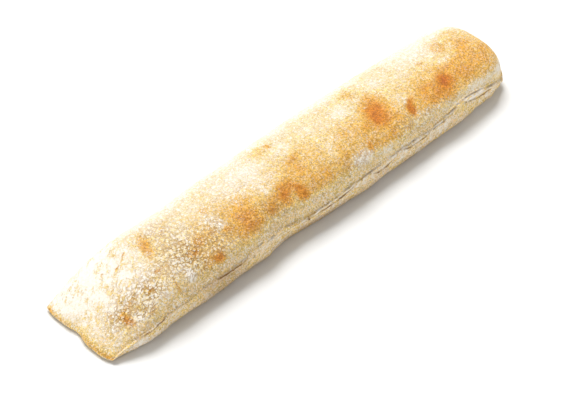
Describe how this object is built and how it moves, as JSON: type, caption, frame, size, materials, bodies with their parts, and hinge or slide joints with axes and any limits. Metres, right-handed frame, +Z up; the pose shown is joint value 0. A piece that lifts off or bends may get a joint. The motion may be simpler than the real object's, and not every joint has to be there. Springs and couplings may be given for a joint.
{
  "type": "ciabatta loaf",
  "caption": "Long flat floury ciabatta loaf, pinched to a thin lobed rim at its narrow end and blunt at the other, with an open seam along its front side.",
  "frame": {"origin": "middle of the flat base, on the surface that the loaf lies on", "axes": "+X along the loaf, from its pinched end to its blunt end; -Y towards the side with the open seam; +Z up"},
  "size_m": [0.4558, 0.0892, 0.0471],
  "materials": {
    "floured_crust": "dry matt pale bread crust, dusted with flour, browned golden in patches"
  },
  "bodies": {
    "root": {"ciabatta": "floured_crust"}
  },
  "joints": []
}
